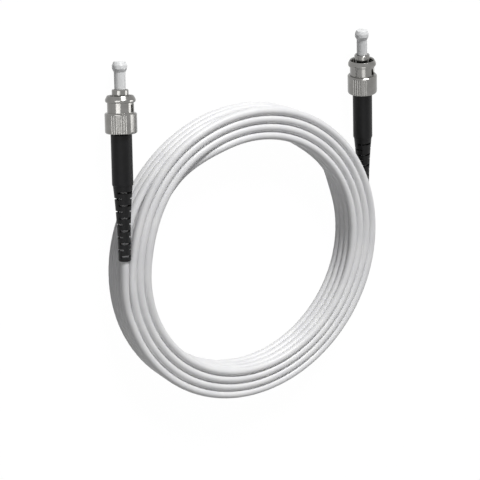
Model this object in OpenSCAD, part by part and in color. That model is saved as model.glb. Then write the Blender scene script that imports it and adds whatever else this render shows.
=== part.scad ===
// Simplex fibre patch lead: two bayonet-nut connectors with slotted boots,
// joined by one jacketed cable that lies wound in a flat coil.
//
// Each connector is built along its own +Z, from the boot's rear end (z = 0)
// to the tip of the dust cap, and is then laid down beside the coil.

/* [Cable] */
// Outer diameter of the jacket
cable_d = 2.4; // [1.6:0.1:3]
// Diameter of the buffered fibre inside the jacket
buffer_d = 0.9; // [0.6:0.1:1]
// Centre line radius of the coil's outermost turn
coil_r = 43.4; // [38:0.2:60]
// Turns side by side across the coil
coil_columns = 4; // [3:1:5]
// Layers of turns on top of each other
coil_rows = 4; // [3:1:5]

/* [Boot] */
// Length of the boot
boot_len = 35.2; // [32:0.2:40]
// Length of the slotted, bending part of the boot
boot_bend_len = 21; // [19:0.5:24]
// Outer diameter of the boot's smooth part
boot_d = 5.85; // [5.5:0.05:6.4]
// Outer diameter of the boot at the front end of its bending part
boot_neck_d = 5.4; // [4.8:0.05:5.6]
// Outer diameter of the boot's rear end
boot_tail_d = 3.5; // [3.3:0.05:4]
// Distance between one slot level and the next
slot_pitch = 1.785; // [1.6:0.005:1.9]
// Width of a slot along the boot
slot_w = 0.55; // [0.4:0.05:0.8]
// Number of slot levels
slot_levels = 11; // [5:1:11]
// Arc of one slot, of the two at each level
slot_arc = 122; // [90:1:140]

/* [Crimp] */
// Wall of the crimp sleeve
crimp_wall = 0.28; // [0.2:0.02:0.4]
// Length of the crimp sleeve over the neck
crimp_len = 6.1; // [5:0.1:7]
// Outer diameter of the backbone's crimp neck
neck_d = 3; // [2.6:0.1:3.1]
// Thickness of the yarn layer under the crimp sleeve
yarn_t = 0.24; // [0.15:0.01:0.3]

/* [Ferrule and barrel] */
// Diameter of the ceramic ferrule
ferrule_d = 2.5; // [2.4:0.1:2.6]
// Length of the ferrule
ferrule_len = 11.9; // [11:0.1:12.4]
// Length of the ferrule held in the barrel
ferrule_grip = 3.2; // [2.4:0.1:3.6]
// Outer diameter of the keyed barrel
barrel_d = 4.57; // [4.5:0.01:4.8]
// Wall of the barrel's open front end
barrel_wall = 0.63; // [0.5:0.01:0.7]
// Length of the barrel ahead of its collar
barrel_len = 7; // [6.6:0.1:7.6]
// Diameter of the collar that the spring pushes on
collar_d = 6.4; // [6:0.1:6.6]
// Thickness of the collar
collar_t = 0.7; // [0.5:0.1:0.8]
// Diameter of the stem behind the collar
stem_d = 4; // [3.8:0.1:4.2]
// How much the barrel is turned down behind its front pilot land
barrel_relief = 0.2; // [0.15:0.01:0.25]
// Width of the barrel's key
key_w = 0.9; // [0.7:0.1:1.1]
// Height of the barrel's key above the barrel
key_h = 0.45; // [0.3:0.05:0.6]

/* [Coupling nut] */
// Outer diameter of the nut's fluted skirt
skirt_d = 8.82; // [8.6:0.02:9.4]
// Length of the fluted skirt
skirt_len = 5.7; // [5.4:0.1:6.2]
// Outer diameter of the nut's neck
nut_neck_d = 7.36; // [7.3:0.02:7.8]
// Outer diameter of the nut's front flange
flange_d = 8.4; // [8:0.05:8.8]
// Thickness of the front flange
flange_t = 1.75; // [1.2:0.05:2]
// Length of the whole nut
nut_len = 10.3; // [10:0.1:11.5]
// Bore of the nut's open mouth
mouth_d = 6.6; // [6.3:0.1:6.8]
// Thickness of the web between mouth and spring chamber
web_t = 0.6; // [0.5:0.05:0.8]
// Bore of the spring chamber
chamber_d = 7; // [6.9:0.05:7.2]
// Travel of the nut against its spring
nut_travel = 1.6; // [1:0.1:1.6]
// Angle that the nut turns to lock
slot_turn = 30; // [24:1:60]
// Arc of the lug's way in through the flange
slot_entry = 19; // [17:1:24]
// Groups of flutes around the skirt
flute_groups = 3; // [2:1:4]
// Flutes in each group
flutes = 7; // [3:1:9]
// Angle between neighbouring flutes
flute_step = 8.3; // [6:0.1:10]
// Diameter of the cutter that leaves a flute
flute_d = 0.66; // [0.5:0.02:0.7]
// Depth of a flute
flute_h = 0.14; // [0.06:0.02:0.16]

/* [Spring and rings] */
// Wire diameter of the spring
wire_d = 0.4; // [0.3:0.02:0.45]
// Active coils of the spring
spring_coils = 2.25; // [1.75:0.25:2.25]
// Thickness of the thrust washer
washer_t = 0.45; // [0.35:0.05:0.5]
// Thickness of the retaining ring
ring_t = 0.45; // [0.35:0.05:0.5]
// Depth of the groove that holds the retaining ring
groove_h = 0.22; // [0.1:0.02:0.3]

/* [Dust cap] */
// Length of the dust cap
cap_len = 11; // [10:0.1:12]
// Wall of the cap around the ferrule
cap_wall = 0.28; // [0.2:0.01:0.35]
// Width of the cap's head across its corners
head_d = 4.08; // [3.8:0.02:4.6]
// Diameter of the head's flat end
head_top_d = 3.3; // [2.8:0.05:3.6]
// Length of the head
head_len = 2.5; // [2:0.1:3]

/* [Fits] */
// Radial clearance of pieces that slide or turn on each other
run_fit = 0.05; // [0.02:0.01:0.08]
// Radial clearance of pieces that are pushed on and grip
grip_fit = 0.02; // [0.01:0.01:0.03]
// Gap between faces of neighbouring pieces that move apart
face_gap = 0.05; // [0.02:0.01:0.1]
// Play between the boot's bore and the cable
cable_play = 0.1; // [0.05:0.05:0.2]

/* [Lay] */
// Height of the first boot's rear end above the surface
near_h = 9.5; // [9.4:0.1:12]
// How far the first boot's rear end lies past the coil's centre line
near_ahead = 8; // [7:0.1:10]
// Swing of the first connector towards the inside of the lead
near_swing = 4.9; // [4:0.1:6]
// Sideways place of the second boot's rear end, past the outermost turn
far_out = 1.7; // [1.6:0.1:3]
// How far the second boot's rear end lies past the coil's centre line
far_ahead = 7.2; // [7:0.1:10]
// Swing of the second connector towards the inside of the lead
far_swing = 4.4; // [4:0.1:6]
// Turn of the first connector about its own axis
near_roll = -36; // [-60:1:60]
// Turn of the second connector about its own axis
far_roll = -46; // [-60:1:60]
// Arc over which the first end lifts off the coil
lift_arc = 16; // [10:1:24]

/* [Hidden] */
$fn = 64;
eps = 0.01;
// Directions about the axis: bayonet slots, grip flutes, slots of the boot
slot_place = -32;
flute_place = -90;
boot_twist = -60;

jacket_white = [0.86, 0.86, 0.87];
nickel = [0.72, 0.72, 0.74];
boot_black = [0.09, 0.09, 0.1];
cap_grey = [0.8, 0.81, 0.82];
yarn_yellow = [0.85, 0.76, 0.4];
zirconia = [0.95, 0.95, 0.93];
steel = [0.6, 0.6, 0.62];

// Stations along a connector, from the boot's rear end
crimp_start = boot_bend_len - 0.1;
jacket_end = crimp_start + 3.1;
neck_start = jacket_end + 0.4;
neck_end = neck_start + crimp_len;
nut_start = boot_len + 0.2;
nut_front = nut_start + nut_len;
ring_start = nut_start + 0.3;
washer_start = ring_start + ring_t + face_gap;
spring_start = washer_start + washer_t;
web_start = nut_start + skirt_len - 0.7;
collar_start = web_start - face_gap - collar_t;
spring_end = collar_start;
neck_z = nut_start + skirt_len;
barrel_start = collar_start - 2.3;
barrel_end = web_start + barrel_len;
mouth_start = web_start + web_t;
spigot_end = barrel_start + 3;
ferrule_start = spigot_end;
ferrule_end = ferrule_start + ferrule_len;
ferrule_grip_end = ferrule_start + ferrule_grip;
cap_start = ferrule_grip_end + 0.3;
cap_end = cap_start + cap_len;
buffer_end = ferrule_start + 1.5;

// Radii that follow from the piece inside
yarn_in_r = neck_d / 2 + eps;
yarn_out_r = yarn_in_r + yarn_t;
crimp_in_r = yarn_out_r + eps;
crimp_out_r = crimp_in_r + crimp_wall;
jacket_grip_r = cable_d / 2 + grip_fit;
boot_bore_r = cable_d / 2 + cable_play;
boot_front_bore_r = crimp_out_r + grip_fit;
spigot_r = 1.5;
buffer_bore_r = buffer_d / 2 + run_fit;
barrel_bore_r = barrel_d / 2 - barrel_wall;
barrel_back_r = barrel_d / 2 - barrel_relief;
cap_bore_r = ferrule_d / 2 + grip_fit;
cap_shaft_r = cap_bore_r + cap_wall;

// Coil section: strands one cable diameter apart
coil_in = coil_r - (coil_columns - 1) * cable_d - cable_d / 2;
coil_h = coil_rows * cable_d;
top_z = coil_h - cable_d / 2;
// Angles at which the first turn moves in from the outer top corner, the last
// one leaves the outer bottom corner, and its neighbour fills that corner
first_moves_in = 127;
last_leaves = 349;
corner_refilled = 18;

// A connector lies on the edge of its nut: the first leans down from the top
// of the coil, the second leans up from the bottom of the coil
near_lean = -asin(near_h / norm([nut_front - 0.6, flange_d / 2]))
  + atan2(flange_d / 2, nut_front - 0.6);
far_h = boot_tail_d / 2 + 0.1;
far_lean = atan2(skirt_d / 2, nut_start + 0.8)
  - asin(far_h / norm([nut_start + 0.8, skirt_d / 2]));

near_p = [-coil_r - 0.2, near_ahead, near_h];
far_p = [coil_r + far_out, far_ahead, far_h];
near_turn = [near_lean - 90, 0, -near_swing];
far_turn = [far_lean - 90, 0, far_swing];

// The origin is on the surface, midway between the two connectors
reach = cap_end * cos(near_swing) * cos(near_lean);
centre = [
  (near_p.x + far_p.x) / 2,
  (near_p.y + far_p.y + reach) / 2,
  0
];

// Point at distance s along a connector's axis
function axis_dir(turn) = [
  -sin(turn.z) * sin(-turn.x),
  cos(turn.z) * sin(-turn.x),
  cos(turn.x)
];
function axis_point(p, turn, s) = p + s * axis_dir(turn);

// Free stretches of the cable, from the coil to the boots, in the coil's frame
near_route = [
  [-43.3, -6, 8.65],
  [-43.8, 0, 9.1]
];
far_route = [
  [43.6, -3, 1.2],
  [44.5, 2, 1.45]
];

function on_coil(angle, z) = [coil_r * cos(angle), coil_r * sin(angle), z];

near_points = concat(
  [on_coil(180 + lift_arc, top_z)],
  near_route,
  [for (s = [0, 6, 14, jacket_end]) axis_point(near_p, near_turn, s)]
);
far_points = concat(
  [on_coil(last_leaves, cable_d / 2)],
  far_route,
  [for (s = [0, 6, 14, jacket_end]) axis_point(far_p, far_turn, s)]
);

// Catmull-Rom point between p[i] and p[i + 1]
function ghost(p, i) =
  i < 0 ? 2 * p[0] - p[1]
  : i >= len(p) ? 2 * p[len(p) - 1] - p[len(p) - 2]
  : p[i];
function blend(a, b, c, d, t) =
  0.5 * ((2 * b) + (c - a) * t + (2 * a - 5 * b + 4 * c - d) * t * t
    + (3 * b - a - 3 * c + d) * t * t * t);
function spline(p, per) = concat(
  [for (i = [0:len(p) - 2], k = [0:per - 1])
    blend(ghost(p, i - 1), p[i], p[i + 1], ghost(p, i + 2), k / per)],
  [p[len(p) - 1]]
);

function unit(v) = v / norm(v);
function tangent(p, i) = unit(p[min(i + 1, len(p) - 1)] - p[max(i - 1, 0)]);

// One closed tube along a path that never runs straight up
module tube(path, r, sides) {
  n = len(path);
  points = [
    for (i = [0:n - 1])
      let (t = tangent(path, i), u = unit(cross([0, 0, 1], t)), v = cross(t, u))
        for (k = [0:sides - 1])
          path[i] + r * (cos(360 * k / sides) * u + sin(360 * k / sides) * v)
  ];
  sides_faces = [
    for (i = [0:n - 2], k = [0:sides - 1])
      let (a = i * sides + k, b = i * sides + (k + 1) % sides)
        [a, a + sides, b + sides, b]
  ];
  ends = [
    [for (k = [0:sides - 1]) k],
    [for (k = [sides - 1:-1:0]) (n - 1) * sides + k]
  ];
  polyhedron(points, concat(sides_faces, ends), convexity = 4);
}

module near() {
  translate(near_p - centre) rotate(near_turn) rotate([0, 0, near_roll]) children();
}

module far() {
  translate(far_p - centre) rotate(far_turn) rotate([0, 0, far_roll]) children();
}

// Ring of material between two radii and two stations
module ring(r_out, r_in, z0, z1) {
  difference() {
    translate([0, 0, z0]) cylinder(r = r_out, h = z1 - z0);
    translate([0, 0, z0 - 1]) cylinder(r = r_in, h = z1 - z0 + 2);
  }
}

// Rounded outer corner of a strand in column c and row r, from angle a on
function corner(c, r, a) = [
  for (k = [0:30:90])
    [coil_r - c * cable_d + cable_d / 2 * cos(a + k), cable_d * (r + 0.5 + sin(a + k) / 2)]
];

// Section of the coil with every strand in place
module coil_section() {
  last_c = coil_columns - 1;
  last_r = coil_rows - 1;
  polygon(concat(
    corner(0, 0, -90), corner(0, last_r, 0), corner(last_c, last_r, 90), corner(last_c, 0, 180)
  ));
}

// What lies outside the section where the strand at its outer top corner is gone
module top_notch() {
  last_r = coil_rows - 1;
  far_x = coil_r + 3;
  polygon(concat(
    [[far_x, coil_h - 1.5 * cable_d]],
    [[coil_r + cable_d / 2, coil_h - 1.5 * cable_d]],
    corner(0, last_r - 1, 0),
    [[coil_r - cable_d / 2, coil_h - cable_d]],
    corner(1, last_r, 0),
    [[coil_r - cable_d, coil_h + 1], [far_x, coil_h + 1]]
  ));
}

module cable_coil() {
  color(jacket_white) translate(-centre) difference() {
    rotate([0, 0, 225]) rotate_extrude($fn = 128) coil_section();
    // the first turn has not yet reached its corner
    rotate([0, 0, first_moves_in])
      rotate_extrude(angle = 180 + lift_arc - first_moves_in) top_notch();
    // the last turn has left its corner
    rotate([0, 0, last_leaves]) rotate_extrude(angle = 360 + corner_refilled - last_leaves)
      translate([0, coil_h]) mirror([0, 1]) top_notch();
  }
}

module near_tail() {
  color(jacket_white) translate(-centre) tube(spline(near_points, 4), cable_d / 2, 8);
}

module far_tail() {
  color(jacket_white) translate(-centre) tube(spline(far_points, 4), cable_d / 2, 8);
}

// Outer radius of the boot's bending part, z from its rear end
function boot_r(z) =
  boot_tail_d / 2 + (boot_neck_d - boot_tail_d) / 2 * pow(z / boot_bend_len, 2.2);

module boot_outline() {
  steps = 10;
  round_r = 0.35;
  polygon(concat(
    [[0, 0], [boot_r(0) - round_r, 0]],
    [for (a = [30, 60]) [boot_r(0) - round_r * (1 - sin(a)), round_r * (1 - cos(a))]],
    [for (i = [0:steps])
      let (z = round_r + (boot_bend_len - round_r) * i / steps) [boot_r(z), z]],
    [[boot_d / 2 - 0.1, boot_bend_len + 0.15], [boot_d / 2, boot_bend_len + 0.5]],
    [[boot_d / 2, boot_len - 0.25], [boot_d / 2 - 0.2, boot_len], [0, boot_len]]
  ));
}

// One slot: an arc cut through the boot's wall
module slot(level) {
  z = slot_pitch * (level + 0.5) + slot_w;
  for (side = [0, 180])
    rotate([0, 0, side + boot_twist + 90 * (level % 2) - slot_arc / 2])
      translate([0, 0, z - slot_w / 2])
        rotate_extrude(angle = slot_arc)
          translate([0.4, 0]) square([boot_d, slot_w]);
}

module boot() {
  color(boot_black) difference() {
    rotate_extrude() boot_outline();
    translate([0, 0, -1]) cylinder(r = boot_bore_r, h = boot_len + 2);
    translate([0, 0, crimp_start - 0.1]) cylinder(r = boot_front_bore_r, h = boot_len);
    for (level = [0:slot_levels - 1]) slot(level);
  }
}

module crimp_sleeve() {
  taper = 0.5;
  color(nickel) difference() {
    rotate_extrude() polygon([
      [0, crimp_start],
      [jacket_grip_r + crimp_wall, crimp_start],
      [jacket_grip_r + crimp_wall, jacket_end - taper / 2],
      [crimp_out_r, jacket_end + taper / 2],
      [crimp_out_r, neck_end],
      [0, neck_end]
    ]);
    translate([0, 0, crimp_start - 1]) cylinder(r = jacket_grip_r, h = crimp_len);
    translate([0, 0, jacket_end]) cylinder(r = crimp_in_r, h = crimp_len + 5);
  }
}

module yarn() {
  color(yarn_yellow) ring(yarn_out_r, yarn_in_r, neck_start, neck_end);
}

module buffer() {
  color("white") translate([0, 0, jacket_end])
    cylinder(r = buffer_d / 2, h = buffer_end - jacket_end);
}

module backbone() {
  shoulder_r = boot_front_bore_r - grip_fit;
  color(nickel) difference() {
    union() {
      translate([0, 0, neck_start]) cylinder(d = neck_d, h = neck_end - neck_start + 1);
      translate([0, 0, neck_end]) cylinder(r = shoulder_r, h = boot_len - neck_end - 0.2);
      translate([0, 0, boot_len - 1]) cylinder(d = stem_d, h = barrel_start - boot_len + 1);
      translate([0, 0, barrel_start - 1]) cylinder(r = spigot_r, h = spigot_end - barrel_start + 1);
    }
    translate([0, 0, neck_start - 1]) cylinder(r = buffer_bore_r, h = 30);
    // grooves that the crimp bites into
    for (z = [neck_start + 0.8:1.1:neck_end - 0.8])
      translate([0, 0, z]) ring(neck_d, neck_d / 2 - 0.15, 0, 0.4);
  }
}

module barrel() {
  bevel = 0.25;
  land_start = nut_front + 0.25;
  color(nickel) {
    difference() {
      union() {
        translate([0, 0, barrel_start]) cylinder(d = stem_d, h = 3);
        translate([0, 0, collar_start]) cylinder(d = collar_d, h = collar_t);
        translate([0, 0, collar_start]) cylinder(r = barrel_back_r, h = land_start - collar_start);
        translate([0, 0, land_start]) cylinder(d = barrel_d, h = barrel_end - bevel - land_start);
        translate([0, 0, barrel_end - bevel])
          cylinder(r1 = barrel_d / 2, r2 = barrel_d / 2 - 0.2, h = bevel);
      }
      translate([0, 0, barrel_start - 1]) cylinder(r = spigot_r + eps, h = 1 + spigot_end - barrel_start);
      translate([0, 0, ferrule_start - 1]) cylinder(r = ferrule_d / 2 + eps, h = 10);
      translate([0, 0, ferrule_grip_end]) cylinder(r = barrel_bore_r, h = 10);
    }
    // key on the far side of the barrel, inside the nut's mouth
    rotate([0, 0, 140]) translate([barrel_back_r - 0.2, -key_w / 2, mouth_start + nut_travel + face_gap])
      cube([key_h + 0.2, key_w, 1.2]);
  }
}

module ferrule() {
  bevel = 0.3;
  color(zirconia) difference() {
    union() {
      translate([0, 0, ferrule_start]) cylinder(d = ferrule_d, h = ferrule_len - bevel);
      translate([0, 0, ferrule_end - bevel])
        cylinder(r1 = ferrule_d / 2, r2 = ferrule_d / 2 - bevel, h = bevel);
    }
    translate([0, 0, ferrule_start - 1]) cylinder(r = buffer_bore_r, h = buffer_end - ferrule_start + 1.1);
  }
}

module spring() {
  r = (stem_d / 2 + run_fit + 0.25 + chamber_d / 2) / 2;
  length = spring_end - spring_start - wire_d - 2 * face_gap;
  steps = 14;
  n = ceil(spring_coils * steps);
  z0 = spring_start + face_gap + wire_d / 2;
  path = [for (i = [0:n])
    [r * cos(360 * i / steps), r * sin(360 * i / steps), z0 + length * i / n]];
  color(steel) tube(path, wire_d / 2, 6);
}

module thrust_washer() {
  color(steel) ring(chamber_d / 2 - run_fit, stem_d / 2 + run_fit,
    washer_start, washer_start + washer_t);
}

module retaining_ring() {
  color(steel) ring(chamber_d / 2 + groove_h - run_fit, stem_d / 2 + 0.5,
    ring_start, ring_start + ring_t);
}

// Outside of the nut: rounded skirt, straight neck, bevelled flange
module nut_outline() {
  round_r = 0.55;
  skirt_end = nut_start + skirt_len;
  flange_start = nut_front - flange_t;
  polygon(concat(
    [[0, nut_start]],
    [for (a = [0:22.5:90])
      [skirt_d / 2 - round_r * (1 - sin(a)), nut_start + round_r * (1 - cos(a))]],
    [[skirt_d / 2, skirt_end - 0.3], [skirt_d / 2 - 0.3, skirt_end]],
    [[nut_neck_d / 2, skirt_end], [nut_neck_d / 2, flange_start - 0.1]],
    [[flange_d / 2 - 0.15, flange_start], [flange_d / 2, flange_start + 0.3]],
    [[flange_d / 2, nut_front - 1.05], [flange_d / 2 - 0.35, nut_front - 0.35]],
    [[mouth_d / 2 + 0.35, nut_front], [0, nut_front]]
  ));
}

// Way of one bayonet lug: in through the flange, then round the neck
module bayonet_slot() {
  reach_r = flange_d / 2 + 1;
  floor_z = neck_z + 0.3;
  roof_z = nut_front - flange_t - 0.6;
  translate([0, 0, floor_z]) rotate_extrude(angle = slot_turn + slot_entry / 2)
    translate([mouth_d / 2 - 0.6, 0]) square([reach_r - mouth_d / 2 + 0.6, roof_z - floor_z]);
  rotate([0, 0, slot_turn]) translate([0, 0, floor_z - 0.15]) rotate_extrude(angle = slot_entry)
    translate([mouth_d / 2 - 0.7, 0]) square([reach_r - mouth_d / 2 + 0.9, nut_len]);
}

module coupling_nut() {
  color(nickel) difference() {
    rotate_extrude($fn = 96) nut_outline();
    // mouth, web and spring chamber
    translate([0, 0, mouth_start]) cylinder(d = mouth_d, h = 10);
    translate([0, 0, nut_front - 0.3])
      cylinder(r1 = mouth_d / 2, r2 = mouth_d / 2 + 0.4, h = 0.4);
    translate([0, 0, web_start - 1]) cylinder(r = barrel_back_r + run_fit, h = web_t + 2);
    translate([0, 0, nut_start - 1]) cylinder(d = chamber_d, h = web_start - nut_start + 1);
    translate([0, 0, ring_start - face_gap])
      cylinder(r = chamber_d / 2 + groove_h, h = ring_t + 2 * face_gap);
    // grip flutes
    for (group = [0:flute_groups - 1], i = [0:flutes - 1])
      rotate([0, 0, group * 360 / flute_groups + (i - (flutes - 1) / 2) * flute_step + flute_place])
        translate([skirt_d / 2 + flute_d / 2 - flute_h, 0, nut_start - 1])
          cylinder(d = flute_d, h = skirt_len + 0.45, $fn = 24);
    for (side = [0, 180]) rotate([0, 0, side + slot_place]) bayonet_slot();
  }
}

module dust_cap() {
  head_start = cap_end - head_len;
  color(cap_grey) difference() {
    union() {
      translate([0, 0, cap_start]) cylinder(r = cap_shaft_r, h = cap_len - 1);
      intersection() {
        rotate_extrude() polygon([
          [0, head_start - 0.6],
          [cap_shaft_r - 0.1, head_start - 0.6],
          [head_d / 2, head_start + 0.6],
          [head_d / 2, cap_end - 1.05],
          [head_top_d / 2, cap_end - 0.1],
          [head_top_d / 2 - 0.1, cap_end],
          [0, cap_end]
        ]);
        translate([0, 0, head_start - 1])
          rotate([0, 0, 22.5]) cylinder(d = head_d * 1.05, h = head_len + 2, $fn = 8);
      }
    }
    translate([0, 0, cap_start - 1]) cylinder(r = cap_bore_r, h = ferrule_end - cap_start + 1.3);
  }
}

cable_coil();
near_tail();
far_tail();
near() boot();  // near_boot
near() crimp_sleeve();  // near_crimp_sleeve
near() yarn();  // near_yarn
near() buffer();  // near_buffer
near() backbone();  // near_backbone
near() barrel();  // near_barrel
near() ferrule();  // near_ferrule
near() spring();  // near_spring
near() thrust_washer();  // near_thrust_washer
near() retaining_ring();  // near_retaining_ring
near() coupling_nut();  // near_coupling_nut
near() dust_cap();  // near_dust_cap
far() boot();  // far_boot
far() crimp_sleeve();  // far_crimp_sleeve
far() yarn();  // far_yarn
far() buffer();  // far_buffer
far() backbone();  // far_backbone
far() barrel();  // far_barrel
far() ferrule();  // far_ferrule
far() spring();  // far_spring
far() thrust_washer();  // far_thrust_washer
far() retaining_ring();  // far_retaining_ring
far() coupling_nut();  // far_coupling_nut
far() dust_cap();  // far_dust_cap
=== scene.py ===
"""Simplex fibre patch lead: a coil of white cable with a bayonet connector on each end."""

import logging
import math
from dataclasses import dataclass, field
from enum import Enum
from typing import Sequence

import bpy
import numpy as np
from mathutils import Matrix, Vector


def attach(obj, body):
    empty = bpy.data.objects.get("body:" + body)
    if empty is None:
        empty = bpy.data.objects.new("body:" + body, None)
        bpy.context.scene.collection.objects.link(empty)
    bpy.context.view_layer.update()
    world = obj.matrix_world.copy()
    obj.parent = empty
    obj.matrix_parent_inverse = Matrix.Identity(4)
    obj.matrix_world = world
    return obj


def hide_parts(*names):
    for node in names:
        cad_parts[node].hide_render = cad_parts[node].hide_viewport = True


LOG = logging.getLogger("patch_lead")
MM = 0.001
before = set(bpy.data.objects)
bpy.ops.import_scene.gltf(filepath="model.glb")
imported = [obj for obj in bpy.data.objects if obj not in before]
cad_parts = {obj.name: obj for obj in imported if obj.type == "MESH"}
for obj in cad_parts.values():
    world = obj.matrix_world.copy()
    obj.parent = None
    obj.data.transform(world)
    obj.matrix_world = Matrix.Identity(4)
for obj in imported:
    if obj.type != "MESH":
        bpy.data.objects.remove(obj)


class End(Enum):
    """The lead's two connectors."""

    NEAR = "near"
    FAR = "far"


class Slot(Enum):
    """Material slots of the record."""

    JACKET = "jacket"
    BOOT = "boot_rubber"
    NICKEL = "nickel"
    CAP = "cap_plastic"
    CERAMIC = "ceramic"
    STEEL = "spring_steel"
    YARN = "yarn"
    BUFFER = "buffer_white"


# ---------------------------------------------------------------- helpers


def linear(colour: str) -> tuple[float, float, float, float]:
    """Turns an sRGB hex colour to linear RGBA.

    Args:
        colour: Six hex digits after a hash.

    Returns:
        The colour in linear light, with alpha 1.
    """
    parts = [int(colour[i:i + 2], 16) / 255 for i in (1, 3, 5)]
    r, g, b = (c / 12.92 if c <= 0.04045 else ((c + 0.055) / 1.055) ** 2.4 for c in parts)
    return (r, g, b, 1.0)


def add_node(tree: bpy.types.NodeTree, kind: str, settings: dict | None = None,
             links: dict | None = None) -> bpy.types.Node:
    """Adds a node with its settings, socket values and links.

    Args:
        tree: Node tree that gets the node.
        kind: The node's type name.
        settings: Attribute names, or input names or numbers, and their values.
        links: Input names or numbers, and the output sockets that feed them.

    Returns:
        The new node.
    """
    node = tree.nodes.new(kind)
    for key, value in (settings or {}).items():
        if isinstance(key, str) and hasattr(node, key):
            setattr(node, key, value)
        else:
            node.inputs[key].default_value = value
    for key, socket in (links or {}).items():
        tree.links.new(socket, node.inputs[key])
    return node


def new_material(name: str) -> tuple[bpy.types.Material, bpy.types.NodeTree, bpy.types.Node]:
    """Makes an empty material.

    Args:
        name: The material's name.

    Returns:
        The material, its node tree and its output node.
    """
    material = bpy.data.materials.new(name)
    material.use_nodes = True
    tree = material.node_tree
    tree.nodes.clear()
    return material, tree, tree.nodes.new("ShaderNodeOutputMaterial")


def mesh_object(name: str, vertices: np.ndarray, faces: Sequence[Sequence[int]],
                smooth: bool = True) -> bpy.types.Object:
    """Makes a mesh object at the origin.

    Args:
        name: The object's name.
        vertices: Points in the row frame, in metres.
        faces: Vertex numbers of each face.
        smooth: Whether faces are shaded smooth.

    Returns:
        The object, linked to the scene.
    """
    mesh = bpy.data.meshes.new(name)
    mesh.from_pydata([tuple(v) for v in vertices], [], [tuple(f) for f in faces])
    mesh.validate()
    mesh.update()
    for polygon in mesh.polygons:
        polygon.use_smooth = smooth
    thing = bpy.data.objects.new(name, mesh)
    bpy.context.scene.collection.objects.link(thing)
    return thing


# ---------------------------------------------------------------- placement


@dataclass(frozen=True)
class Place:
    """Where a connector lies: its boot's rear end, and the way it points."""

    origin: tuple[float, float, float]
    tilt: float
    swing: float
    roll: float

    def matrix(self) -> Matrix:
        """Returns the turn from the connector's own axes (mm) to the row frame (m)."""
        turn = (
            Matrix.Rotation(math.radians(self.swing), 4, "Z")
            @ Matrix.Rotation(math.radians(self.tilt), 4, "X")
            @ Matrix.Rotation(math.radians(self.roll), 4, "Z")
        )
        return Matrix.Translation(Vector(self.origin) * MM) @ turn @ Matrix.Scale(MM, 4)


CENTRE = (0.75, 34.73332, 0.0)
PLACES = {
    End.NEAR: Place((-44.35, 8.0 - CENTRE[1], 9.5), -96.786449, -4.9, -36.0),
    End.FAR: Place((44.35, 7.2 - CENTRE[1], 1.85), -85.962128, 4.4, -46.0),
}


# ---------------------------------------------------------------- finishes


@dataclass(frozen=True)
class CableJacket:
    """Extruded white PVC jacket: satin, with faint die lines along it."""

    name: str = "extruded_pvc_jacket"
    light: str = "#F1F1F1"
    dark: str = "#E6E6E8"
    roughness: float = 0.42

    def build(self) -> bpy.types.Material:
        """Returns the jacket's material."""
        material, tree, out = new_material(self.name)
        uv = add_node(tree, "ShaderNodeTexCoord")
        # die lines run along the cable, 0.15 mm apart round it
        lines = add_node(tree, "ShaderNodeMapping", {"Scale": (60.0, 50.0, 1.0)},
                         {"Vector": uv.outputs["UV"]})
        streak = add_node(tree, "ShaderNodeTexNoise", {"Scale": 1.0, "Detail": 3.0, "Roughness": 0.6},
                          {"Vector": lines.outputs[0]})
        # cloudy tone, patches of about 6 mm
        cloud = add_node(tree, "ShaderNodeTexNoise", {"Scale": 160.0, "Detail": 2.0},
                         {"Vector": uv.outputs["Object"]})
        mixed = add_node(tree, "ShaderNodeMath", {"operation": "ADD"},
                         {0: streak.outputs["Fac"], 1: cloud.outputs["Fac"]})
        tone = add_node(tree, "ShaderNodeMapRange",
                        {"From Min": 0.7, "From Max": 1.3, "To Min": 0.0, "To Max": 1.0},
                        {"Value": mixed.outputs[0]})
        colour = add_node(tree, "ShaderNodeMix",
                          {"data_type": "RGBA", 6: linear(self.dark), 7: linear(self.light)},
                          {0: tone.outputs[0]})
        # grain of the extruded skin, 0.25 mm
        grain = add_node(tree, "ShaderNodeTexNoise", {"Scale": 4000.0, "Detail": 2.0},
                         {"Vector": uv.outputs["Object"]})
        height = add_node(tree, "ShaderNodeMath", {"operation": "MULTIPLY_ADD", 1: 0.6},
                          {0: streak.outputs["Fac"], 2: grain.outputs["Fac"]})
        bump = add_node(tree, "ShaderNodeBump", {"Strength": 0.12, "Distance": 0.00005},
                        {"Height": height.outputs[0]})
        shine = add_node(tree, "ShaderNodeMapRange",
                         {"To Min": self.roughness - 0.06, "To Max": self.roughness + 0.08},
                         {"Value": cloud.outputs["Fac"]})
        shader = add_node(tree, "ShaderNodeBsdfPrincipled",
                          {"IOR": 1.5, "Subsurface Weight": 0.12,
                           "Subsurface Radius": (0.001, 0.001, 0.0009), "Subsurface Scale": 0.4},
                          {"Base Color": colour.outputs[2], "Roughness": shine.outputs[0],
                           "Normal": bump.outputs[0]})
        tree.links.new(shader.outputs[0], out.inputs["Surface"])
        return material


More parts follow.
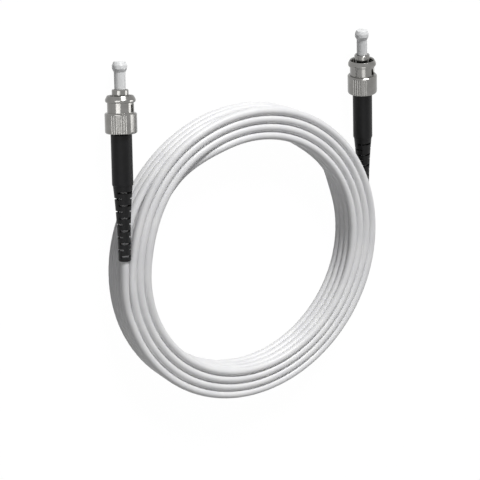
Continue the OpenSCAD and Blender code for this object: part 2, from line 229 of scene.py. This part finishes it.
@dataclass(frozen=True)
class BootRubber:
    """Moulded black thermoplastic rubber: satin, fine spark-eroded grain, rounded edges."""

    name: str = "moulded_rubber_boot"
    base: str = "#0C0C0D"
    scuffed: str = "#161618"
    roughness: float = 0.46

    def build(self) -> bpy.types.Material:
        """Returns the boots' material."""
        material, tree, out = new_material(self.name)
        place = add_node(tree, "ShaderNodeTexCoord")
        # mould grain, 0.12 mm
        grain = add_node(tree, "ShaderNodeTexNoise", {"Scale": 8000.0, "Detail": 3.0, "Roughness": 0.6},
                         {"Vector": place.outputs["Object"]})
        # handling wear, patches of 3 mm
        wear = add_node(tree, "ShaderNodeTexNoise", {"Scale": 330.0, "Detail": 4.0, "Roughness": 0.65},
                        {"Vector": place.outputs["Object"]})
        worn = add_node(tree, "ShaderNodeMapRange", {"From Min": 0.45, "From Max": 0.75},
                        {"Value": wear.outputs["Fac"]})
        colour = add_node(tree, "ShaderNodeMix",
                          {"data_type": "RGBA", 6: linear(self.base), 7: linear(self.scuffed)},
                          {0: worn.outputs[0]})
        shine = add_node(tree, "ShaderNodeMapRange",
                         {"To Min": self.roughness - 0.1, "To Max": self.roughness + 0.1},
                         {"Value": wear.outputs["Fac"]})
        edge = add_node(tree, "ShaderNodeBevel", {"samples": 4, "Radius": 0.00012})
        bump = add_node(tree, "ShaderNodeBump", {"Strength": 0.2, "Distance": 0.00004},
                        {"Height": grain.outputs["Fac"], "Normal": edge.outputs[0]})
        shader = add_node(tree, "ShaderNodeBsdfPrincipled", {"IOR": 1.45, "Specular IOR Level": 0.2},
                          {"Base Color": colour.outputs[2], "Roughness": shine.outputs[0],
                           "Normal": bump.outputs[0]})
        tree.links.new(shader.outputs[0], out.inputs["Surface"])
        return material


@dataclass(frozen=True)
class PlatedBrass:
    """Turned brass, nickel plated: bright, with fine turning marks round the axis."""

    name: str = "nickel_plated_brass"
    bright: str = "#8F8E8C"
    dull: str = "#73726F"
    roughness: float = 0.16

    def build(self) -> bpy.types.Material:
        """Returns the plated parts' material."""
        material, tree, out = new_material(self.name)
        place = add_node(tree, "ShaderNodeTexCoord")
        # haze of the plating, patches of 2 mm
        haze = add_node(tree, "ShaderNodeTexNoise", {"Scale": 500.0, "Detail": 4.0, "Roughness": 0.6},
                        {"Vector": place.outputs["Object"]})
        colour = add_node(tree, "ShaderNodeMix",
                          {"data_type": "RGBA", 6: linear(self.dull), 7: linear(self.bright)},
                          {0: haze.outputs["Fac"]})
        # hairline scratches of the tool, 0.05 mm apart along the axis (the row's Y)
        stretch = add_node(tree, "ShaderNodeMapping", {"Scale": (900.0, 20000.0, 900.0)},
                           {"Vector": place.outputs["Object"]})
        marks = add_node(tree, "ShaderNodeTexNoise", {"Scale": 1.0, "Detail": 2.0},
                         {"Vector": stretch.outputs[0]})
        edge = add_node(tree, "ShaderNodeBevel", {"samples": 4, "Radius": 0.00008})
        bump = add_node(tree, "ShaderNodeBump", {"Strength": 0.06, "Distance": 0.00002},
                        {"Height": marks.outputs["Fac"], "Normal": edge.outputs[0]})
        shine = add_node(tree, "ShaderNodeMapRange",
                         {"To Min": self.roughness - 0.05, "To Max": self.roughness + 0.08},
                         {"Value": haze.outputs["Fac"]})
        shader = add_node(tree, "ShaderNodeBsdfPrincipled", {"Metallic": 1.0},
                          {"Base Color": colour.outputs[2], "Roughness": shine.outputs[0],
                           "Normal": bump.outputs[0]})
        tree.links.new(shader.outputs[0], out.inputs["Surface"])
        return material


@dataclass(frozen=True)
class PlainFinish:
    """A finish of cloudy tone and fine grain, for moulded, sintered or drawn pieces."""

    name: str
    light: str
    dark: str
    roughness: float
    metallic: float = 0.0
    ior: float = 1.5
    subsurface: float = 0.0
    cloud_mm: float = 3.0
    grain_mm: float = 0.2
    grain: float = 0.1
    coat: float = 0.0

    def build(self) -> bpy.types.Material:
        """Returns the finish's material."""
        material, tree, out = new_material(self.name)
        place = add_node(tree, "ShaderNodeTexCoord")
        cloud = add_node(tree, "ShaderNodeTexNoise",
                         {"Scale": 1 / (self.cloud_mm * MM), "Detail": 3.0, "Roughness": 0.55},
                         {"Vector": place.outputs["Object"]})
        colour = add_node(tree, "ShaderNodeMix",
                          {"data_type": "RGBA", 6: linear(self.dark), 7: linear(self.light)},
                          {0: cloud.outputs["Fac"]})
        shine = add_node(tree, "ShaderNodeMapRange",
                         {"To Min": self.roughness - 0.07, "To Max": self.roughness + 0.07},
                         {"Value": cloud.outputs["Fac"]})
        grain = add_node(tree, "ShaderNodeTexNoise",
                         {"Scale": 1 / (self.grain_mm * MM), "Detail": 2.0},
                         {"Vector": place.outputs["Object"]})
        bump = add_node(tree, "ShaderNodeBump", {"Strength": self.grain, "Distance": 0.00004},
                        {"Height": grain.outputs["Fac"]})
        settings = {"IOR": self.ior, "Metallic": self.metallic}
        if self.subsurface:
            settings["Subsurface Weight"] = self.subsurface
            settings["Subsurface Radius"] = (0.0016, 0.0016, 0.0016)
            settings["Subsurface Scale"] = 0.5
        if self.coat:
            settings["Coat Weight"] = self.coat
        if self.metallic:
            settings.pop("IOR")
        shader = add_node(tree, "ShaderNodeBsdfPrincipled", settings,
                          {"Base Color": colour.outputs[2], "Roughness": shine.outputs[0],
                           "Normal": bump.outputs[0]})
        tree.links.new(shader.outputs[0], out.inputs["Surface"])
        return material


class Finishes:
    """All the finishes of the lead, made once and shared."""

    def __init__(self) -> None:
        """Builds each finish's material."""
        self.materials: dict[Slot, bpy.types.Material] = {
            Slot.JACKET: CableJacket().build(),
            Slot.BOOT: BootRubber().build(),
            Slot.NICKEL: PlatedBrass().build(),
            # milky polythene, moulded: soft and slightly see-through
            Slot.CAP: PlainFinish("milky_polythene_cap", "#ECEDED", "#E2E3E4", 0.38,
                                  subsurface=0.35, grain=0.12, grain_mm=0.15).build(),
            # sintered and ground zirconia: dense white, glossy
            Slot.CERAMIC: PlainFinish("ground_zirconia", "#F2F1EC", "#E8E7E0", 0.16, ior=2.1,
                                      subsurface=0.1, grain=0.03, grain_mm=0.05).build(),
            # drawn spring steel
            Slot.STEEL: PlainFinish("drawn_spring_steel", "#A7A6A3", "#8A8986", 0.3,
                                    metallic=1.0, cloud_mm=1.0, grain=0.08).build(),
            # aramid yarn, laid flat under the crimp
            Slot.YARN: PlainFinish("aramid_yarn", "#D9BE63", "#B99A3F", 0.7,
                                   cloud_mm=0.4, grain=0.5, grain_mm=0.08).build(),
            # tight acrylate buffer
            Slot.BUFFER: PlainFinish("tight_buffer", "#F0F0EE", "#E4E4E2", 0.4,
                                     subsurface=0.1).build(),
        }

    def __getitem__(self, slot: Slot) -> bpy.types.Material:
        """Returns the material of a slot."""
        return self.materials[slot]


# ---------------------------------------------------------------- studio


@dataclass
class Studio:
    """Camera, pale floor and soft lamps."""

    camera_place: tuple[float, float, float] = (-0.21284, 0.10549, 0.33519)
    right: tuple[float, float, float] = (0.841, -0.020, 0.541)
    up: tuple[float, float, float] = (0.193, 0.945, -0.266)
    view_angle: float = 19.394
    floor_size: float = 4.0

    def camera(self) -> None:
        """Makes the scene's camera."""
        data = bpy.data.cameras.new("camera")
        data.angle = math.radians(self.view_angle)
        data.clip_start, data.clip_end = 0.01, 20
        thing = bpy.data.objects.new("camera", data)
        bpy.context.scene.collection.objects.link(thing)
        up = Vector(self.up).normalized()
        right = (Vector(self.right) - Vector(self.right).dot(up) * up).normalized()
        back = right.cross(up)
        turn = Matrix((right, up, back)).transposed().to_4x4()
        thing.matrix_world = Matrix.Translation(self.camera_place) @ turn
        bpy.context.scene.camera = thing
        LOG.info("camera: %.3f m up", self.camera_place[2])

    def white_where_seen(self, tree: bpy.types.NodeTree) -> bpy.types.Node:
        """Adds 1 where a camera, glossy or transmission ray looks.

        Args:
            tree: Node tree of the floor or the world.

        Returns:
            The node whose output is that number.
        """
        path = add_node(tree, "ShaderNodeLightPath")
        first = add_node(tree, "ShaderNodeMath", {"operation": "MAXIMUM"},
                         {0: path.outputs["Is Camera Ray"], 1: path.outputs["Is Transmission Ray"]})
        return add_node(tree, "ShaderNodeMath", {"operation": "MAXIMUM"},
                        {0: path.outputs["Is Glossy Ray"], 1: first.outputs[0]})

    def world(self) -> None:
        """Makes the world: white where it is seen, plain grey light elsewhere."""
        world = bpy.data.worlds.new("studio")
        world.use_nodes = True
        bpy.context.scene.world = world
        tree = world.node_tree
        tree.nodes.clear()
        seen = self.white_where_seen(tree)
        light = add_node(tree, "ShaderNodeBackground", {"Color": linear("#FFFFFF"), "Strength": 0.12})
        white = add_node(tree, "ShaderNodeBackground", {"Color": linear("#FFFFFF"), "Strength": 1.0})
        mix = add_node(tree, "ShaderNodeMixShader", {},
                       {0: seen.outputs[0], 1: light.outputs[0], 2: white.outputs[0]})
        out = add_node(tree, "ShaderNodeOutputWorld", {}, {"Surface": mix.outputs[0]})
        out.is_active_output = True

    def floor(self) -> None:
        """Makes the pale floor, white where it is seen but for the lead's shadow."""
        half = self.floor_size / 2
        corners = np.array([(-half, -half, 0), (half, -half, 0), (half, half, 0), (-half, half, 0)])
        thing = mesh_object("floor", corners - np.array([0, 0, 0.00005]), [(0, 1, 2, 3)], smooth=False)
        material, tree, out = new_material("pale_floor")
        seen = self.white_where_seen(tree)
        share = add_node(tree, "ShaderNodeMath", {"operation": "MULTIPLY", 1: 0.88},
                         {0: seen.outputs[0]})
        matt = add_node(tree, "ShaderNodeBsdfDiffuse", {"Color": linear("#8C8C8C")})
        glow = add_node(tree, "ShaderNodeEmission", {"Color": linear("#FFFFFF"), "Strength": 1.12})
        mix = add_node(tree, "ShaderNodeMixShader", {},
                       {0: share.outputs[0], 1: matt.outputs[0], 2: glow.outputs[0]})
        tree.links.new(mix.outputs[0], out.inputs["Surface"])
        thing.data.materials.append(material)

    def lamp(self, name: str, place: tuple[float, float, float], aim: tuple[float, float, float],
             size: tuple[float, float], power: float, polished_only: bool = False) -> None:
        """Adds one soft box.

        Args:
            name: The lamp's name.
            place: Its centre, in metres.
            aim: The point that it faces.
            size: Its width and height, in metres.
            power: Its power, in watts.
            polished_only: Whether only mirror-like surfaces catch it.
        """
        data = bpy.data.lights.new(name, "AREA")
        data.shape = "RECTANGLE"
        data.size, data.size_y = size
        data.energy = power
        thing = bpy.data.objects.new(name, data)
        bpy.context.scene.collection.objects.link(thing)
        thing.visible_diffuse = not polished_only
        way = Vector(aim) - Vector(place)
        thing.matrix_world = Matrix.Translation(place) @ way.to_track_quat("-Z", "Y").to_matrix().to_4x4()

    def build(self) -> None:
        """Builds the whole studio."""
        self.camera()
        self.world()
        self.floor()
        self.lamp("key", (0.10, 1.10, 0.62), (0, 0, 0), (0.45, 0.3), 15.5)
        self.lamp("fill", (-0.30, -0.35, 0.80), (0, 0, 0), (0.4, 0.4), 0.9)
        # narrow soft boxes that only show as bright lines in polished metal
        for name, place in (("left_line", (-0.72, 0.04, 0.60)), ("right_line", (0.80, -0.05, 0.42))):
            self.lamp(name, place, (-0.03, 0.01, 0.004), (0.10, 0.6), 0.9, polished_only=True)


# ---------------------------------------------------------------- cable


@dataclass
class Cable:
    """The jacketed cable: fifteen and a half turns in four layers, and both free ends."""

    diameter: float = 2.4
    radius: float = 43.4
    pitch: float = 2.4
    columns: int = 4
    rows: int = 4
    first_angle: float = 196.0
    last_angle: float = 349.0
    step: float = 3.0
    sides: int = 16
    # where each layer, or the way from one layer to the next, moves across: from, to (degrees)
    shifts: tuple[tuple[float, float], ...] = (
        (118, 172), (104, 132), (78, 116), (66, 88), (48, 80), (38, 58), (18, 50))
    near_route: tuple[tuple[float, float, float], ...] = ((-43.3, -6.0, 8.65), (-43.8, 0.0, 9.1))
    far_route: tuple[tuple[float, float, float], ...] = ((43.6, -3.0, 1.2), (44.5, 2.0, 1.45))
    boot_stations: tuple[float, ...] = (0.0, 6.0, 14.0, 24.0)

    def cells(self) -> list[tuple[int, int]]:
        """Returns column and row of each turn, in the order in which they are wound."""
        order: list[tuple[int, int]] = []
        for row in range(self.rows):
            columns = range(self.columns) if row % 2 == 0 else range(self.columns - 1, -1, -1)
            order += [(column, row) for column in columns]
        return order

    def cell_point(self, column: float, row: float, angle: float) -> np.ndarray:
        """Returns a point of the coil, in mm, in the coil's own frame.

        Args:
            column: Turns in from the outermost one.
            row: Layers down from the top one.
            angle: Direction about the coil's centre, in degrees.
        """
        out = self.radius - self.pitch * column
        height = self.pitch * (self.rows - 0.5 - row)
        turn = math.radians(angle)
        return np.array([out * math.cos(turn), out * math.sin(turn), height])

    def wound(self) -> list[np.ndarray]:
        """Returns the points of the coil, from where the near end joins it."""
        order = self.cells()
        points = []
        last = 180 + 360 * (len(order) - 1) + (self.last_angle - 180)
        count = round((last - self.first_angle) / self.step)
        for angle in np.linspace(self.first_angle, last, count + 1):
            turn = int((angle - 180) // 360)
            column, row = order[turn]
            if turn + 1 < len(order):
                goal_column, goal_row = order[turn + 1]
                start, end = self.shifts[2 * row if row == goal_row else 2 * row + 1]
                here = (angle + 90) % 360 - 90
                t = min(max((here - start) / (end - start), 0.0), 1.0) if here < 180 else 0.0
                share = t * t * (3 - 2 * t)
                column = column + share * (goal_column - column)
                row = row + share * (goal_row - row)
            points.append(self.cell_point(column, row, angle))
        return points

    def through(self, points: Sequence[np.ndarray], per: int) -> list[np.ndarray]:
        """Returns a Catmull-Rom line through the inner points of a row of points.

        Args:
            points: The points; the first and the last only give the direction there.
            per: Pieces between one point and the next.
        """
        line = []
        for a, b, c, d in zip(points, points[1:], points[2:], points[3:]):
            for k in range(per):
                t = k / per
                line.append(0.5 * (2 * b + (c - a) * t + (2 * a - 5 * b + 4 * c - d) * t * t
                                   + (3 * b - a - 3 * c + d) * t ** 3))
        return line

    def axis_points(self, end: End) -> list[np.ndarray]:
        """Returns points on a connector's axis inside its boot, in the coil's own frame."""
        matrix = PLACES[end].matrix()
        return [np.array(matrix @ Vector((0, 0, s))) / MM + np.array(CENTRE)
                for s in (*self.boot_stations, self.boot_stations[-1] + 8)]

    def line(self) -> np.ndarray:
        """Returns the cable's whole centre line, in the row frame, in metres."""
        coil = self.wound()
        near = [np.array(p) for p in self.near_route]
        far = [np.array(p) for p in self.far_route]
        head = self.through([*reversed(self.axis_points(End.NEAR)), *reversed(near), coil[0], coil[4]], 5)
        tail = self.through([coil[-5], coil[-1], *far, *self.axis_points(End.FAR)], 5)
        points = np.array([*head, *coil[:-1], *tail])
        return (points - np.array(CENTRE)) * MM

    def tube(self, line: np.ndarray) -> bpy.types.Object:
        """Returns the cable as one closed tube with a UV map in metres along and round it.

        Args:
            line: Its centre line.
        """
        count = len(line)
        tangents = np.gradient(line, axis=0)
        tangents /= np.linalg.norm(tangents, axis=1)[:, None]
        side = np.cross((0.0, 0.0, 1.0), tangents)
        side /= np.linalg.norm(side, axis=1)[:, None]
        top = np.cross(tangents, side)
        turns = np.arange(self.sides) * 2 * math.pi / self.sides
        rings = (line[:, None] + self.diameter / 2 * MM * (
            np.cos(turns)[None, :, None] * side[:, None] + np.sin(turns)[None, :, None] * top[:, None]))
        vertices = rings.reshape(-1, 3)
        n = self.sides
        faces = [(i * n + k, i * n + (k + 1) % n, (i + 1) * n + (k + 1) % n, (i + 1) * n + k)
                 for i in range(count - 1) for k in range(n)]
        faces = [tuple(reversed(f)) for f in faces]
        faces.append(tuple(range(n)))
        faces.append(tuple((count - 1) * n + k for k in reversed(range(n))))
        thing = mesh_object("cable", vertices, faces)
        mesh = thing.data
        along = np.concatenate([[0], np.cumsum(np.linalg.norm(np.diff(line, axis=0), axis=1))])
        layer = mesh.uv_layers.new(name="along_cable")
        numbers = np.zeros(len(mesh.loops), np.int32)
        mesh.loops.foreach_get("vertex_index", numbers)
        around = (numbers % n).astype(float)
        starts = np.array([p.loop_start for p in mesh.polygons[:(count - 1) * n]])
        for p in range(4):
            loops = starts + p
            seam = (np.arange(len(starts)) % n == n - 1) & (numbers[loops] % n == 0)
            around[loops[seam]] = n
        uv = np.stack([along[numbers // n], around / n], axis=1)
        layer.data.foreach_set("uv", uv.ravel())
        for polygon in mesh.polygons[-2:]:
            polygon.use_smooth = False
        return thing

    def build(self, finishes: Finishes) -> bpy.types.Object:
        """Args:
            finishes: The lead's finishes.

        Returns:
            The cable's object.
        """
        line = self.line()
        length = float(np.linalg.norm(np.diff(line, axis=0), axis=1).sum())
        thing = self.tube(line)
        thing.data.materials.append(finishes[Slot.JACKET])
        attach(thing, "lead")
        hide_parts("cable_coil", "near_tail", "far_tail")
        tuple(PLACES[End.NEAR].matrix() @ Vector((0, 0, 0)))
        LOG.info("cable: %d points, %.3f m", len(line), length)
        return thing


# ---------------------------------------------------------------- connectors


@dataclass
class Boot:
    """Slotted bend-relief boot: a turned shell, cut from both sides at each level (mm)."""

    end: End
    length: float = 35.2
    bend_length: float = 21.0
    outer: float = 5.85
    neck: float = 5.4
    tail: float = 3.5
    bore: float = 2.6
    front_bore: float = 3.6
    pitch: float = 1.785
    slot_width: float = 0.55
    levels: int = 11
    arc: float = 122.0
    twist: float = -60.0
    around: int = 96

    def radius(self, z: float) -> float:
        """Returns the outer radius of the bending part at a height above its rear end."""
        return self.tail / 2 + (self.neck - self.tail) / 2 * (z / self.bend_length) ** 2.2

    def outline(self) -> list[tuple[float, float]]:
        """Returns the shell's closed section as radius and height, outside first."""
        points = [(self.radius(0) - 0.35 * (1 - math.sin(math.radians(a))),
                   0.35 * (1 - math.cos(math.radians(a)))) for a in range(0, 91, 15)]
        points += [(self.radius(z), z) for z in np.linspace(0.6, self.bend_length, 36)]
        points += [(self.outer / 2 - 0.22, self.bend_length + 0.04),
                   (self.outer / 2 - 0.08, self.bend_length + 0.14),
                   (self.outer / 2, self.bend_length + 0.4)]
        points += [(self.outer / 2, z) for z in np.linspace(22, self.length - 0.5, 8)]
        points += [(self.outer / 2 - 0.22 * (1 - math.cos(math.radians(a))),
                    self.length - 0.22 + 0.22 * math.sin(math.radians(a))) for a in range(0, 91, 15)]
        points += [(self.front_bore / 2, self.length), (self.front_bore / 2, self.bend_length - 0.2),
                   (self.bore / 2, self.bend_length - 0.2), (self.bore / 2, 0.0)]
        return points

    def shell(self) -> bpy.types.Object:
        """Returns the uncut shell, in mm, on the connector's own axes."""
        section = self.outline()
        n, rows = self.around, len(section)
        turns = np.arange(n) * 2 * math.pi / n
        vertices = np.array([(r * math.cos(t), r * math.sin(t), z) for t in turns for r, z in section])
        faces = [(i * rows + k, (i + 1) % n * rows + k, (i + 1) % n * rows + (k + 1) % rows,
                  i * rows + (k + 1) % rows) for i in range(n) for k in range(rows)]
        return mesh_object(f"{self.end.value}_boot_cover", vertices, faces)

    def slots(self, material: bpy.types.Material) -> bpy.types.NodeTree:
        """Returns the node tree that cuts the slots, two at each level, every other level turned.

        Args:
            material: The boot's finish.
        """
        tree = bpy.data.node_groups.new("slotted_boot", "GeometryNodeTree")
        sockets = tree.interface
        sockets.new_socket("Shell", in_out="INPUT", socket_type="NodeSocketGeometry")
        for name, kind, value in (
            ("Levels", "NodeSocketInt", self.levels),
            ("Pitch", "NodeSocketFloat", self.pitch),
            ("Slot Width", "NodeSocketFloat", self.slot_width),
            ("Arc", "NodeSocketFloat", math.radians(self.arc)),
            ("Twist", "NodeSocketFloat", math.radians(self.twist)),
        ):
            sockets.new_socket(name, in_out="INPUT", socket_type=kind).default_value = value
        sockets.new_socket("Boot", in_out="OUTPUT", socket_type="NodeSocketGeometry")
        given = add_node(tree, "NodeGroupInput").outputs
        half = add_node(tree, "ShaderNodeMath", {"operation": "MULTIPLY_ADD", 1: -0.5},
                        {0: given["Arc"], 2: given["Twist"]})
        sweep = add_node(tree, "GeometryNodeCurveArc", {"mode": "RADIUS", "Resolution": 26, "Radius": 2.4},
                         {"Start Angle": half.outputs[0], "Sweep Angle": given["Arc"]})
        section = add_node(tree, "GeometryNodeCurvePrimitiveQuadrilateral", {"mode": "RECTANGLE"},
                           {"Height": given["Slot Width"]})
        section.inputs["Width"].default_value = 4.0
        bar = add_node(tree, "GeometryNodeCurveToMesh", {"Fill Caps": True},
                       {"Curve": sweep.outputs[0], "Profile Curve": section.outputs[0]})
        other = add_node(tree, "GeometryNodeTransform", {"Rotation": (0.0, 0.0, math.pi)},
                         {"Geometry": bar.outputs[0]})
        pair = add_node(tree, "GeometryNodeJoinGeometry")
        tree.links.new(bar.outputs[0], pair.inputs[0])
        tree.links.new(other.outputs[0], pair.inputs[0])
        step = add_node(tree, "ShaderNodeCombineXYZ", {}, {"Z": given["Pitch"]})
        start = add_node(tree, "ShaderNodeMath", {"operation": "MULTIPLY_ADD", 1: 0.5},
                         {0: given["Pitch"], 2: given["Slot Width"]})
        first = add_node(tree, "ShaderNodeCombineXYZ", {}, {"Z": start.outputs[0]})
        line = add_node(tree, "GeometryNodeMeshLine", {"mode": "OFFSET"},
                        {"Count": given["Levels"], "Start Location": first.outputs[0],
                         "Offset": step.outputs[0]})
        index = add_node(tree, "GeometryNodeInputIndex")
        odd = add_node(tree, "ShaderNodeMath", {"operation": "MODULO", 1: 2.0}, {0: index.outputs[0]})
        quarter = add_node(tree, "ShaderNodeMath", {"operation": "MULTIPLY", 1: math.pi / 2},
                           {0: odd.outputs[0]})
        turn = add_node(tree, "ShaderNodeCombineXYZ", {}, {"Z": quarter.outputs[0]})
        bars = add_node(tree, "GeometryNodeInstanceOnPoints", {},
                        {"Points": line.outputs[0], "Instance": pair.outputs[0],
                         "Rotation": turn.outputs[0]})
        real = add_node(tree, "GeometryNodeRealizeInstances", {}, {"Geometry": bars.outputs[0]})
        cut = add_node(tree, "GeometryNodeMeshBoolean", {"operation": "DIFFERENCE", "solver": "EXACT"},
                       {"Mesh 1": given["Shell"], "Mesh 2": real.outputs[0]})
        done = add_node(tree, "GeometryNodeSetMaterial", {"Material": material},
                        {"Geometry": cut.outputs[0]})
        out = add_node(tree, "NodeGroupOutput")
        tree.links.new(done.outputs[0], out.inputs[0])
        return tree

    def build(self, finishes: Finishes) -> bpy.types.Object:
        """Builds the boot in its place.

        Args:
            finishes: The lead's finishes.

        Returns:
            The boot's object.
        """
        thing = self.shell()
        modifier = thing.modifiers.new("slots", "NODES")
        modifier.node_group = self.slots(finishes[Slot.BOOT])
        graph = bpy.context.evaluated_depsgraph_get()
        mesh = bpy.data.meshes.new_from_object(thing.evaluated_get(graph))
        thing.modifiers.clear()
        thing.data = mesh
        mesh.transform(PLACES[self.end].matrix())
        for polygon in mesh.polygons:
            polygon.use_smooth = True
        mesh.set_sharp_from_angle(angle=math.radians(32))
        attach(thing, "lead")
        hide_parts(f"{self.end.value}_boot")
        LOG.info("%s: %d faces", thing.name, len(mesh.polygons))
        return thing


@dataclass
class Connector:
    """One connector: its turned, moulded and ground pieces."""

    end: End
    slots: dict[str, Slot] = field(default_factory=lambda: {
        "boot": Slot.BOOT,
        "crimp_sleeve": Slot.NICKEL,
        "yarn": Slot.YARN,
        "buffer": Slot.BUFFER,
        "backbone": Slot.NICKEL,
        "barrel": Slot.NICKEL,
        "ferrule": Slot.CERAMIC,
        "spring": Slot.STEEL,
        "thrust_washer": Slot.STEEL,
        "retaining_ring": Slot.STEEL,
        "coupling_nut": Slot.NICKEL,
        "dust_cap": Slot.CAP,
    })

    def dress(self, finishes: Finishes) -> None:
        """Gives each carried-over node its finish.

        Args:
            finishes: The lead's finishes.
        """
        for piece, slot in self.slots.items():
            name = f"{self.end.value}_{piece}"
            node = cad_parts[name]
            if not node.material_slots:
                node.data.materials.append(finishes[slot])
            for place in node.material_slots:
                place.material = finishes[slot]
            LOG.info("%s: %s", name, slot.value)

    def build(self, finishes: Finishes) -> None:
        """Builds the whole connector.

        Args:
            finishes: The lead's finishes.
        """
        self.dress(finishes)
        Boot(self.end).build(finishes)


def main() -> None:
    """Builds the studio and the lead."""
    logging.basicConfig(level=logging.INFO, format="%(message)s")
    bpy.context.scene.view_settings.view_transform = "Standard"
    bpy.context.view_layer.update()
    Studio().build()
    finishes = Finishes()
    Cable().build(finishes)
    for end in End:
        Connector(end).build(finishes)


if __name__ == "__main__":
    main()
